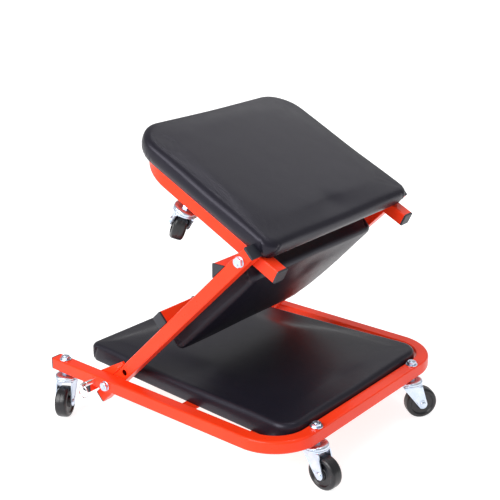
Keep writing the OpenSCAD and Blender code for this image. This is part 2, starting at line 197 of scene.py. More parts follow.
def make_vinyl():
    m, t, b, c = new_material("vinyl")
    big = noise_tex(t, c, 7, 3, 0.5)
    t.links.new(ramp(t, big, [(0.3, (0.0072, 0.0066, 0.0110)), (0.7, (0.0095, 0.0088, 0.0142))]), b.inputs["Base Color"])
    cells = voronoi(t, c, 900, "F1")
    cells2 = voronoi(t, c, 520, "DISTANCE_TO_EDGE")
    grain = noise_tex(t, c, 1500, 2, 0.6)
    t.links.new(span(t, noise_tex(t, c, 55, 3, 0.6), 0.31, 0.40), b.inputs["Roughness"])
    b.inputs["Specular IOR Level"].default_value = 0.30
    b.inputs["Specular Tint"].default_value = (0.88, 0.85, 1.0, 1)
    n1 = bump(t, b, cells, 0.28, 0.00035)
    n2 = bump(t, b, cells2, 0.16, 0.00030, n1)
    n3 = bump(t, b, grain, 0.10, 0.0002, n2)
    bump(t, b, noise_tex(t, c, 28, 3, 0.5), 0.10, 0.0022, n3)
    return m


def make_plastic():
    m, t, b, c = new_material("black_plastic")
    t.links.new(ramp(t, noise_tex(t, c, 25, 3, 0.5), [(0.3, (0.013, 0.014, 0.020)), (0.7, (0.019, 0.021, 0.029))]),
                b.inputs["Base Color"])
    t.links.new(span(t, noise_tex(t, c, 300, 2, 0.5), 0.38, 0.52), b.inputs["Roughness"])
    n1 = bump(t, b, noise_tex(t, c, 1400, 2, 0.6), 0.22, 0.0003)
    bump(t, b, noise_tex(t, c, 150, 2, 0.5), 0.10, 0.0006, n1)
    return m


def make_rubber():
    m, t, b, c = new_material("wheel_black")
    t.links.new(ramp(t, noise_tex(t, c, 60, 4, 0.6), [(0.3, (0.0036, 0.0036, 0.0054)), (0.7, (0.0069, 0.0069, 0.0099))]),
                b.inputs["Base Color"])
    t.links.new(span(t, noise_tex(t, c, 180, 3, 0.6), 0.24, 0.42), b.inputs["Roughness"])
    b.inputs["Coat Weight"].default_value = 0.08
    b.inputs["Coat Roughness"].default_value = 0.18
    n1 = bump(t, b, noise_tex(t, c, 900, 2, 0.6), 0.14, 0.0003)
    bump(t, b, noise_tex(t, c, 90, 3, 0.6), 0.14, 0.0010, n1)
    return m


def make_zinc():
    m, t, b, c = new_material("zinc")
    stretched = mapped(t, c, (1, 1, 5))
    t.links.new(ramp(t, noise_tex(t, c, 70, 4, 0.6), [(0.25, (0.54, 0.64, 0.78)), (0.55, (0.66, 0.74, 0.86)), (0.8, (0.78, 0.82, 0.88))]),
                b.inputs["Base Color"])
    b.inputs["Metallic"].default_value = 1.0
    t.links.new(span(t, noise_tex(t, stretched, 240, 4, 0.65), 0.20, 0.40), b.inputs["Roughness"])
    n1 = bump(t, b, noise_tex(t, stretched, 500, 3, 0.6), 0.10, 0.0003)
    bump(t, b, noise_tex(t, c, 120, 2, 0.5), 0.10, 0.0006, n1)
    return m


def make_chrome():
    m, t, b, c = new_material("chrome")
    t.links.new(ramp(t, noise_tex(t, c, 90, 3, 0.5), [(0.3, (0.66, 0.68, 0.72)), (0.7, (0.80, 0.81, 0.83))]),
                b.inputs["Base Color"])
    b.inputs["Metallic"].default_value = 1.0
    t.links.new(span(t, noise_tex(t, c, 500, 3, 0.6), 0.20, 0.30), b.inputs["Roughness"])
    bump(t, b, noise_tex(t, c, 300, 2, 0.5), 0.06, 0.0003)
    return m


def make_ply():
    m, t, b, c = new_material("plywood")
    along = mapped(t, c, (1.0, 9.0, 9.0))
    fig = noise_tex(t, along, 7, 5, 0.6, 1.2)
    fine = noise_tex(t, mapped(t, c, (2.0, 40.0, 40.0)), 30, 4, 0.7)
    mix = math_node(t, "ADD", math_node(t, "MULTIPLY", fig, 0.7), math_node(t, "MULTIPLY", fine, 0.3))
    t.links.new(ramp(t, mix, [(0.25, (0.20, 0.105, 0.045)), (0.48, (0.40, 0.235, 0.115)), (0.62, (0.50, 0.315, 0.165)), (0.8, (0.58, 0.39, 0.22))]),
                b.inputs["Base Color"])
    t.links.new(span(t, fine, 0.62, 0.85), b.inputs["Roughness"])
    bump(t, b, mix, 0.25, 0.0006)
    return m


MAT = {"red_paint": make_paint(), "vinyl": make_vinyl(), "black_plastic": make_plastic(), "wheel_rubber": make_rubber(),
       "zinc": make_zinc(), "chrome": make_chrome(), "plywood": make_ply()}

# ---------------------------------------------------------------- mesh building
# A shape is (points in millimetres, faces).


def join(*parts):
    pts, faces = [], []
    for p, f in parts:
        k = len(pts)
        pts += list(p)
        faces += [[i + k for i in face] for face in f]
    return pts, faces


def moved(shape, m):
    pts = [m @ Vector(p) for p in shape[0]]
    faces = shape[1]
    if m.to_3x3().determinant() < 0:
        faces = [list(reversed(f)) for f in faces]
    return pts, faces


def loft(rings, closed=False, caps=True):
    """Quads between rings of equal length; ends capped unless the rings close on themselves."""
    n, pts, faces = len(rings[0]), [p for r in rings for p in r], []
    count = len(rings)
    for a in range(count if closed else count - 1):
        b = (a + 1) % count
        for i in range(n):
            j = (i + 1) % n
            faces.append([a * n + i, a * n + j, b * n + j, b * n + i])
    if caps and not closed:
        faces.append([i for i in reversed(range(n))])
        faces.append([(count - 1) * n + i for i in range(n)])
    return pts, faces


def lathe(profile, n=48, closed=False):
    """Turned about z. A profile is (r, z) points: closed round a bore, or from axis to axis."""
    pts, faces, rows = [], [], []
    for r, z in profile:
        if r < 1e-6:
            rows.append([len(pts)])
            pts.append((0, 0, z))
        else:
            rows.append(list(range(len(pts), len(pts) + n)))
            pts += [(r * math.cos(2 * math.pi * i / n), r * math.sin(2 * math.pi * i / n), z) for i in range(n)]
    pairs = list(zip(rows, rows[1:])) + ([(rows[-1], rows[0])] if closed else [])
    for a, b in pairs:
        for i in range(n):
            j = (i + 1) % n
            if len(a) == 1 and len(b) == 1:
                continue
            if len(a) == 1:
                faces.append([a[0], b[i], b[j]])
            elif len(b) == 1:
                faces.append([a[i], b[0], a[j]])
            else:
                faces.append([a[i], b[i], b[j], a[j]])
    return pts, faces


def prism(outline, z0, z1):
    return loft([[(x, y, z0) for x, y in outline], [(x, y, z1) for x, y in outline]])


def arc(cx, cy, r, a0, a1, n):
    return [(cx + r * math.cos(rad(a0 + (a1 - a0) * i / n)), cy + r * math.sin(rad(a0 + (a1 - a0) * i / n)))
            for i in range(n + 1)]


def round_rect(w, h, r, n=4):
    return (arc(w / 2 - r, h / 2 - r, r, 0, 90, n) + arc(r - w / 2, h / 2 - r, r, 90, 180, n)
            + arc(r - w / 2, r - h / 2, r, 180, 270, n) + arc(w / 2 - r, r - h / 2, r, 270, 360, n))


def hex_part(r, z0, z1, bore=0.0, low=False, per=8, dish=0.0):
    """A hexagon of corner radius r from z0 to z1, its top (and bottom, if low) chamfered as turned hexagons are."""
    n = 6 * per
    ri = r * math.cos(rad(30))
    rc = ri * 0.985
    angles = [360.0 * i / n for i in range(n)]
    edge = [ri / math.cos(rad((a % 60) - 30)) for a in angles]
    drop = [max(0.0, (e - rc)) * math.tan(rad(33)) for e in edge]

    def ring(radii, zs):
        return [(q * math.cos(rad(a)), q * math.sin(rad(a)), z) for a, q, z in zip(angles, radii, zs)]

    rings = []
    inner = bore if bore else 0.35 * ri
    if bore:
        rings.append(ring([bore] * n, [z0 + 0.5] * n))
        rings.append(ring([bore + 0.5] * n, [z0] * n))
    else:
        rings.append(ring([inner] * n, [z0] * n))
    if low:
        rings.append(ring([rc] * n, [z0] * n))
        rings.append(ring(edge, [z0 + d for d in drop]))
    else:
        rings.append(ring(edge, [z0] * n))
    rings.append(ring(edge, [z1 - d for d in drop]))
    rings.append(ring([rc] * n, [z1] * n))
    if bore:
        rings.append(ring([bore + 0.5] * n, [z1] * n))
        rings.append(ring([bore] * n, [z1 - 0.5] * n))
        return loft(rings, closed=True)
    if dish:
        for k in (0.72, 0.66, 0.58, 0.46, 0.30, 0.12):
            rings.append(ring([k * ri] * n, [z1 - dish * (1 - (k / 0.72) ** 2)] * n))
    else:
        rings.append(ring([inner] * n, [z1] * n))
    return loft(rings)


def threaded_end(r, z0, z1, pitch=1.25, n=32):
    """A bolt's end from z0 up to z1: rounded ridges at the thread's pitch, and a chamfer."""
    prof = [(0, z0), (r - 0.15, z0)]
    z = z0
    while z + pitch < z1 - 0.9:
        prof += [(r - 0.55, z + 0.1 * pitch), (r, z + 0.5 * pitch), (r - 0.55, z + 0.9 * pitch)]
        z += pitch
    prof += [(r - 0.2, z1 - 0.9), (r - 1.0, z1), (0, z1)]
    return lathe(prof, n)


def washer(ro, ri, z0, z1, n=40):
    c = min(0.35, (z1 - z0) / 3)
    return lathe([(ri, z0), (ro - c, z0), (ro, z0 + c), (ro, z1 - c), (ro - c, z1), (ri + 0.1, z1)], n, closed=True)


def tube_line(points, radii, n=12, closed=False):
    """A round bar along points, with a radius at each."""
    rings, count = [], len(points)
    pts = [Vector(p) for p in points]
    if closed:
        tangents = [(pts[(i + 1) % count] - pts[i - 1]).normalized() for i in range(count)]
    else:
        tangents = [(pts[min(i + 1, count - 1)] - pts[max(i - 1, 0)]).normalized() for i in range(count)]
    up = Vector((0, 0, 1)) if abs(tangents[0].z) < 0.9 else Vector((1, 0, 0))
    u = tangents[0].cross(up).normalized()
    for p, t, r in zip(pts, tangents, radii):
        u = (u - t * u.dot(t)).normalized()
        v = t.cross(u)
        rings.append([p + r * (math.cos(2 * math.pi * k / n) * u + math.sin(2 * math.pi * k / n) * v) for k in range(n)])
    return loft(rings, closed=closed)


def finish_mesh(me, angle):
    me.polygons.foreach_set("use_smooth", [True] * len(me.polygons))
    me.set_sharp_from_angle(angle=rad(angle))
    me.update()


def piece(name, shape, m, body, mat, replaces=(), angle=32, bevel=0.0, weighted=True):
    """One object from a shape placed by m (a frame in metres per millimetre), riding on a body."""
    me = bpy.data.meshes.new(name)
    bm = bmesh.new()
    vs = [bm.verts.new(p) for p in shape[0]]
    for f in shape[1]:
        try:
            bm.faces.new([vs[i] for i in f])
        except ValueError:
            pass
    bmesh.ops.remove_doubles(bm, verts=bm.verts, dist=1e-4)
    bmesh.ops.recalc_face_normals(bm, faces=bm.faces)
    if bevel:
        edges = [e for e in bm.edges if len(e.link_faces) == 2 and e.calc_face_angle(0) > rad(40)]
        bmesh.ops.bevel(bm, geom=edges, offset=bevel, segments=3, profile=0.7, affect="EDGES", clamp_overlap=True)
    bmesh.ops.transform(bm, matrix=m, verts=bm.verts)
    bmesh.ops.recalc_face_normals(bm, faces=bm.faces)
    bm.to_mesh(me)
    bm.free()
    return place(name, me, body, mat, replaces, angle, weighted)


def place(name, me, body, mat, replaces=(), angle=32, weighted=True):
    finish_mesh(me, angle)
    o = bpy.data.objects.new(name, me)
    bpy.context.scene.collection.objects.link(o)
    me.materials.append(MAT[mat])
    if weighted:
        w = o.modifiers.new("normals", "WEIGHTED_NORMAL")
        w.keep_sharp = True
        w.weight = 100
    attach(o, body)
    if replaces:
        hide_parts(*([replaces] if isinstance(replaces, str) else replaces))
    return o


def bored(shape, cutters):
    """The shape with round holes cut through it."""
    def obj(s):
        me = bpy.data.meshes.new("work")
        bm = bmesh.new()
        vs = [bm.verts.new(p) for p in s[0]]
        for f in s[1]:
            bm.faces.new([vs[i] for i in f])
        bmesh.ops.remove_doubles(bm, verts=bm.verts, dist=1e-4)
        bmesh.ops.recalc_face_normals(bm, faces=bm.faces)
        bm.to_mesh(me)
        bm.free()
        o = bpy.data.objects.new("work", me)
        bpy.context.scene.collection.objects.link(o)
        return o
    a = obj(shape)
    for c in cutters:
        b = obj(c)
        mod = a.modifiers.new("cut", "BOOLEAN")
        mod.operation, mod.solver, mod.object = "DIFFERENCE", "EXACT", b
        bpy.context.view_layer.update()
        made = bpy.data.meshes.new_from_object(a.evaluated_get(bpy.context.evaluated_depsgraph_get()))
        a.modifiers.remove(mod)
        a.data = made
        bpy.data.objects.remove(b)
    pts = [tuple(v.co) for v in a.data.vertices]
    faces = [list(p.vertices) for p in a.data.polygons]
    bpy.data.objects.remove(a)
    return pts, faces


# ---------------------------------------------------------------- square tube
WALL = 1.5


def section(w, r, k=4):
    return round_rect(w, w, r, k)


def straight_tube(x0, x1, w, hollow=True, marks=()):
    """Square tube along x, open at both ends."""
    xs = sorted(set([x0, x1, *marks]))
    outer = [[(x, u, v) for u, v in section(w, 2.2)] for x in xs]
    if not hollow:
        return loft(outer)
    inner = [[(x, u, v) for u, v in section(w - 2 * WALL, 0.8)] for x in reversed(xs)]
    return loft(outer + inner, closed=True)


def u_path(x0, x1, hy, rc, step=4.0):
    """Centre line of a U in the xy plane, and the outward direction at each point."""
    pts = [((x0, -hy), (0, -1))]
    for a in np.linspace(-90, 0, int(90 / step) + 1):
        pts.append(((x1 - rc + rc * math.cos(rad(a)), -hy + rc + rc * math.sin(rad(a))), (math.cos(rad(a)), math.sin(rad(a)))))
    for a in np.linspace(0, 90, int(90 / step) + 1):
        pts.append(((x1 - rc + rc * math.cos(rad(a)), hy - rc + rc * math.sin(rad(a))), (math.cos(rad(a)), math.sin(rad(a)))))
    pts.append(((x0, hy), (0, 1)))
    return pts


def u_tube(x0, x1, hy, rc, w=20.0):
    """Bent square tube: the inner wall of each bend is drawn in a little, as bending leaves it."""
    path = u_path(x0, x1, hy, rc)
    n = len(path)

    def rings(width, r, extra):
        made = []
        h = width / 2
        for i, ((px, py), (nx, ny)) in enumerate(path):
            bend = 2 * abs(nx * ny) if 0 < i < n - 1 else 0.0
            squeeze = bend * 0.8
            ro = r + extra * bend
            sect = (arc(h - ro, h - ro, ro, 0, 90, 4) + arc(r - h, h - r, r, 90, 180, 4)
                    + arc(r - h, r - h, r, 180, 270, 4) + arc(h - ro, ro - h, ro, 270, 360, 4))
            ring = []
            for u, v in sect:
                du = 0.0
                if u < 0:
                    du = squeeze * (1 - (v / h) ** 2)
                elif u > 0:
                    du = -0.5 * bend * (1 - (v / h) ** 2)
                ring.append((px + (u + du) * nx, py + (u + du) * ny, v))
            made.append(ring)
        return made
    outer = rings(w, 2.2, 2.6)
    inner = rings(w - 2 * WALL, 0.8, 2.0)
    return loft(outer + list(reversed(inner)), closed=True)


def weld(points, r=1.9, seed=0, ripple=2.1):
    """A fillet bead along a line: a bar with the ripples of a hand weld, flattened at its ends."""
    pts = [Vector(p) for p in points]
    line, radii = [], []
    total = sum((b - a).length for a, b in zip(pts, pts[1:]))
    steps = max(8, int(total / 0.7))
    for k in range(steps + 1):
        d = total * k / steps
        for a, b in zip(pts, pts[1:]):
            if d <= (b - a).length + 1e-9:
                p = a + (b - a) * (d / (b - a).length)
                break
            d -= (b - a).length
        s = total * k / steps
        end = min(1.0, 4.0 * min(k, steps - k) / steps + 0.35)
        wob = noise.noise(Vector((s * 0.35, seed * 7.3, 1.7)))
        radii.append(r * end * (1 + 0.14 * math.sin(2 * math.pi * s / ripple) + 0.25 * wob))
        line.append(p)
    return tube_line(line, radii, 10)


def rod(x, y, z, axis, r, l, n=48):
    """A plain round cutter of length l centred on a point."""
    s = lathe([(0, -l / 2), (r, -l / 2), (r, l / 2), (0, l / 2)], n)
    m = {"x": RY(90), "y": RX(90), "z": Matrix.Identity(4)}[axis]
    return moved(s, T(x, y, z) @ m)


print("scene: tubes")
base_tube = bored(u_tube(-124, 335, 200, 60), [rod(-28, -200, 0, "y", 4.08, 40)])
piece("base_frame_tube", base_tube, BASE, "base", "red_paint", "base_frame", angle=30)
STOP_X = -28.37
stop_s = -(25 + 10.1 * math.cos(SEAT)) / math.sin(SEAT)
STOP_X = stop_s * math.cos(SEAT) - 10.1 * math.sin(SEAT)
piece("stop_tube_bar", moved(straight_tube(-207, 207, 15), T(STOP_X - 7.5, 0, -17.5) @ RZ(90)), BASE, "base", "red_paint", "stop_tube")
strap_up = [(202, -13), (202, -10), (186, -10), (181, -7), (-181, -7), (-186, -10), (-202, -10), (-202, -13), (-187.2, -13), (-182.2, -10), (182.2, -10), (187.2, -13)]
piece("strap_bars", join(*[loft([[(x + e, a, b) for a, b in strap_up] for e in (-12.5, 12.5)]) for x in (133, 265)]),
      BASE, "base", "red_paint", "base_cross_straps", bevel=0.5)
arm_right = bored(moved(straight_tube(-55.7, 377.37, 20), T(0, -178.5, 0)), [rod(28, -186, 0, "y", 5.1, 12)])
piece("arm_tube_right", arm_right, MID, "mid", "red_paint", "mid_arm_right", angle=30)
piece("arm_tube_left", moved(straight_tube(-55.7, 377.37, 20), T(0, 178.5, 0)), MID, "mid", "red_paint", "mid_arm_left")
piece("cross_tube_bar", moved(straight_tube(-185.5, 185.5, 20), T(161, 0, -20) @ RZ(90)), MID, "mid", "red_paint", "mid_cross_tube")
plate = [(37, -10), (37, -15), (-13, -28), (-22, -30.3), (-28.5, -27), (-33, -19), (-33, -10)]
plate_shape = moved(prism([(a, b) for a, b in plate], 0, 4), Matrix(((1, 0, 0, 0), (0, 0, -1, -184.5), (0, 1, 0, 0), (0, 0, 0, 1))))
ps, pn = -28 * math.cos(SEAT), -28 * math.sin(SEAT)
piece("lock_plate_gusset", bored(plate_shape, [rod(ps, -186.5, pn, "y", 5.1, 20)]), MID, "mid", "red_paint", "lock_plate", bevel=0.4)
rest_s = ARM - 44


def rest_angle():
    """The folded angle across the arms, toes down, with a rounded heel inside and out."""
    h, th = 15.6, 1.8
    heel = arc(0, -h + 3.0 * math.sqrt(2), 3.0, 225, 315, 6)
    out = [(-h, 0)] + [(x, y) for x, y in heel] + [(h, 0)]
    inn = [(h - th * math.sqrt(2), 0)] + [(x, y) for x, y in reversed(arc(0, -h + (th + 1.0) * math.sqrt(2), 1.2, 225, 315, 6))] + [(-h + th * math.sqrt(2), 0)]
    prof = out + inn
    return loft([[(rest_s + a, y, -10 + b) for a, b in prof] for y in (-186.5, 186.5)])


piece("seat_rest_bar", rest_angle(), MID, "mid", "red_paint", "seat_rest_angle", bevel=0.3)
piece("top_frame_tube", u_tube(-44.3, 240, 155, 65), TOP, "top", "red_paint", "top_frame", angle=30)

# weld beads, painted over
beads = []
for m in (-1, 1):
    for dx in (-7.5, 7.5):
        beads.append(weld([(STOP_X - 7.5 + dx, m * 190.6, -10.2), (STOP_X - 7.5 + dx, m * 206.5, -10.2)], 1.7, m + dx))
    for x in (133, 265):
        for dx in (-12.5, 12.5):
            beads.append(weld([(x + dx, m * 191, -10.4), (x + dx, m * 201.5, -10.4)], 1.5, m + dx + x))
        beads.append(weld([(x - 12, m * 202, -10.6), (x + 12, m * 202, -10.6)], 1.5, m + x))
piece("base_welds", join(*beads), BASE, "base", "red_paint", angle=60, weighted=False)
beads = []
for m in (-1, 1):
    for ds in (-10, 10):
        beads.append(weld([(161 + ds, m * 169.2, -10.3), (161 + ds, m * 185, -10.3)], 1.8, m + ds))
    for ds in (-15.2, 15.2):
        beads.append(weld([(rest_s + ds, m * 169.2, -10.3), (rest_s + ds, m * 184.5, -10.3)], 1.6, m + ds + 3))
beads.append(weld([(-31, -188.3, -10.6), (-6, -188.4, -10.6)], 1.3, 4))
beads.append(weld([(8, -188.4, -10.6), (35, -188.3, -10.6)], 1.3, 5))
beads.append(weld([(-31, -184.6, -10.4), (35, -184.6, -10.4)], 1.4, 6))
piece("arm_welds", join(*beads), MID, "mid", "red_paint", angle=60, weighted=False)


# ---------------------------------------------------------------- end caps
def cap(w):
    """An insert cap for a mouth at x = 0: a softly domed head on the -x side, and a ribbed plug."""
    prof = [(-0.05, 0.0), (-2.1, 0.0), (-2.75, 0.35), (-3.0, 1.0)]
    rings = [[(x, u, v) for u, v in round_rect(w - 2 * d, w - 2 * d, max(2.2 - d * 0.6, 1.0), 5)] for x, d in prof]
    rings.append([(-3.0, u, v) for u, v in round_rect(w - 8, w - 8, 1.0, 5)])
    head = loft(rings)
    plug = loft([[(x, u, v) for u, v in round_rect(w - 2 * WALL - 0.3 - d, w - 2 * WALL - 0.3 - d, 0.8, 5)]
                 for x, d in ((-0.5, 0), (3, 0), (3.4, 0.6), (6, 0.6), (6.4, 0), (11, 0), (12, 1.2))])
    return join(head, plug)


caps = [moved(cap(20), T(-124, m * 200, 0)) for m in (-1, 1)]
caps += [moved(cap(15), T(STOP_X - 7.5, -207, -17.5) @ RZ(90)), moved(cap(15), T(STOP_X - 7.5, 207, -17.5) @ RZ(-90))]
piece("base_caps", join(*caps), BASE, "base", "black_plastic", "base_tube_caps", angle=40)
caps = []
for m in (-1, 1):
    caps.append(moved(cap(20), T(-55.7, m * 178.5, 0)))
    caps.append(moved(cap(20), T(377.37, m * 178.5, 0) @ RZ(180)))
caps += [moved(cap(20), T(161, -185.5, -20) @ RZ(90)), moved(cap(20), T(161, 185.5, -20) @ RZ(-90))]


def wedge(y0, y1, h):
    r = 1.2
    pts = [(-h, -0.6)] + arc(0, -h + r * math.sqrt(2), r, 225, 315, 4) + [(h, -0.6), (h - 0.6, 0), (-h + 0.6, 0)]
    ys = [y0, y0 + 0.3, y1 - 0.5, y1]
    ins = [0.3, 0.0, 0.0, 0.5]
    rings = []
    for y, d in zip(ys, ins):
        k = (h - 1.6 * d) / h
        rings.append([(rest_s + a * k, y, -10 - 0.4 * h + (b + 0.4 * h) * k) for a, b in pts])
    return loft(rings)


for m in (-1, 1):
    w = join(wedge(186.5, 188.5, 15.6), wedge(180, 187, 11.4))
    caps.append(w if m > 0 else moved(w, MIRROR_Y))
piece("arm_caps", join(*caps), MID, "mid", "black_plastic", "mid_tube_caps", angle=40)
piece("top_caps", join(*[moved(cap(20), T(-44.3, m * 155, 0)) for m in (-1, 1)]), TOP, "top", "black_plastic", "top_tube_caps", angle=40)


# ---------------------------------------------------------------- bolts, washers, nuts
def hinge_hardware(yo, yi, gap0, gap1):
    """For one side, along local +z = outwards: bolt, washers and nut."""
    bolt = join(lathe([(0, yi - 8.2), (3.2, yi - 8.2), (4.0, yi - 7.4), (4.0, yo + 1.5), (0, yo + 1.5)], 32),
                hex_part(7.5, yo + 1.5, yo + 6.1, dish=1.1))
    wash = join(washer(7.8, 4.15, yo, yo + 1.5), washer(7.8, 4.15, gap0, gap1))
    nut = hex_part(7.5, yi - 6.7, yi - 0.2, 4.15, low=True)
    end = threaded_end(4.0, yi - 8.2, yi - 6.5)
    return bolt, wash, nut, moved(end, Matrix.Identity(4))


for label, frame_m, body, yo, yi, g0, g1 in (
        ("lower", BASE, "base", 210, 168.5, 188.6, 189.9),
        ("upper", MID @ T(ARM, 0, 0), "mid", 188.5, 145, 165.1, 168.4)):
    bolt, wash, nut, end = hinge_hardware(yo, yi, g0, g1)
    twist = [RZ(11), RZ(-17)]
    sides = [RX(90), RX(-90)]
    both = lambda s: join(*[moved(s, side @ tw) for side, tw in zip(sides, twist)])
    piece(label + "_bolts", both(bolt), frame_m, body, "zinc", label + "_hinge_bolts")
    piece(label + "_washers", both(wash), frame_m, body, "zinc", label + "_hinge_washers")
    piece(label + "_nuts", both(nut), frame_m, body, "zinc", label + "_hinge_nuts")


def on_casters(shape, ids, twists=None):
    """Copies of a caster shape at each caster, in the section's own frame."""
    made = []
    for k, i in enumerate(ids):
        m = T(SPOTS[i][0], SPOTS[i][1], -10) @ RZ(SWIVELS[i])
        if twists:
            m = m @ RZ(twists[k])
        made.append(moved(shape, m))
    return join(*made)


def stem(top):
    return join(
        lathe([(0, -14.4), (4, -14.4), (4, top - 6), (0, top - 6)], 32),
        threaded_end(4.0, top - 6.2, top),
        hex_part(7.0, -4.4, 0.0, low=True),
        lathe([(0, -17), (5.6, -17), (7.0, -16.4), (7.5, -15.4), (7.4, -14.4), (0, -14.4)], 40))


RACE = [(4.15, -4.45), (12.6, -4.45), (14.4, -4.75), (16.6, -5.3), (17.8, -6.1), (18.4, -7.3), (18.5, -8.6), (18.45, -9.5),
        (18.1, -9.7), (17.2, -9.7), (16.95, -9.4), (16.9, -8.2), (16.0, -7.4), (14, -7.2), (4.15, -7.2)]
race = lathe(RACE, 72, closed=True)
for sect, ids, frame_m, top_len, nut_h, wash_r in (("base", (0, 1, 2, 3), BASE, 26.6, 4.2, 9.3), ("top", (4, 5), TOP, 27.5, 5.0, 9.0)):
    nut_top = hex_part(7.3, 21.5, 21.5 + nut_h, 4.15, low=True)
    wash_top = washer(wash_r, 4.15, 20, 21.5, 48)
    tw = [12, -20, 35, 5, 0, 25][ids[0]:ids[0] + len(ids)]
    piece(sect + "_stems", on_casters(stem(top_len), ids), frame_m, sect, "zinc", sect + "_caster_stems")
    piece(sect + "_stem_washers", on_casters(wash_top, ids), frame_m, sect, "zinc", sect + "_caster_washers")
    piece(sect + "_stem_nuts", on_casters(nut_top, ids, tw), frame_m, sect, "zinc", sect + "_caster_nuts")
    piece(sect + "_races", on_casters(race, ids), frame_m, sect, "zinc", sect + "_caster_races", angle=50)
    balls = []
    for i in range(12):
        a = rad(30 * i)
        ball = lathe([(2.0 * math.sin(rad(b)), -9.4 - 2.0 * math.cos(rad(b))) for b in range(0, 181, 15)], 20)
        balls.append(moved(ball, T(11.5 * math.cos(a), 11.5 * math.sin(a), 0)))
    piece(sect + "_balls", on_casters(join(*balls), ids), frame_m, sect, "zinc", sect + "_caster_balls", angle=60, weighted=False)


def board_screw(l):
    return join(lathe([(0, -1.0), (6.0, -1.0), (6.2, -0.6), (6.2, -0.01), (0, -0.01)], 32), hex_part(4.6, -3.0, -0.9, low=True),
                lathe([(0, 0), (2.5, 0), (2.5, l - 1), (1.5, l), (0, l)], 24))


piece("base_board_screws", join(*[moved(board_screw(9.5), T(x, y, -10) @ RZ(x + y)) for x in (133, 265) for y in (-110, 110)]),
      BASE, "base", "zinc", "base_pad_screws")
piece("mid_board_screws", join(*[moved(board_screw(26), T(161, y, -30) @ RZ(y)) for y in (-110, -40, 40, 110)]),
      MID, "mid", "zinc", "mid_pad_screws")
piece("top_board_screws", join(*[moved(board_screw(26), T(t, y, -10) @ RZ(t + y)) for t in (80, 180) for y in (-155, 155)]),
      TOP, "top", "zinc", "top_pad_screws")

# lock pin and its ring
L = 45.6
pin = lathe([(0, 0), (2.7, 0), (3.6, 0.5), (4.0, 1.3), (4.0, 8.6), (3.5, 9.0), (3.5, 10.2), (4.0, 10.6), (4.0, L - 2.2),
             (3.7, L - 1.2), (2.5, L), (0, L)], 48)
hole = moved(lathe([(0, -12), (1.8, -12), (1.8, 12), (0, 12)], 32), T(0, 0, 4.5) @ RY(90))
pin = bored(pin, [hole])
piece("pin_bar", moved(pin, T(-28, -236.2, 0) @ ALONG_Y), BASE, "lock_pin", "chrome", "lock_pin", angle=30)
ring_pts = [(10.5 * math.cos(rad(a)), 0, 10.5 * math.sin(rad(a))) for a in range(0, 360, 6)]
ring = moved(tube_line(ring_pts, [1.2] * 60, 16, closed=True), T(-28, -231.7, -10.5))
piece("pin_ring", ring, BASE, "lock_pin", "chrome", "pull_ring", angle=70, weighted=False)


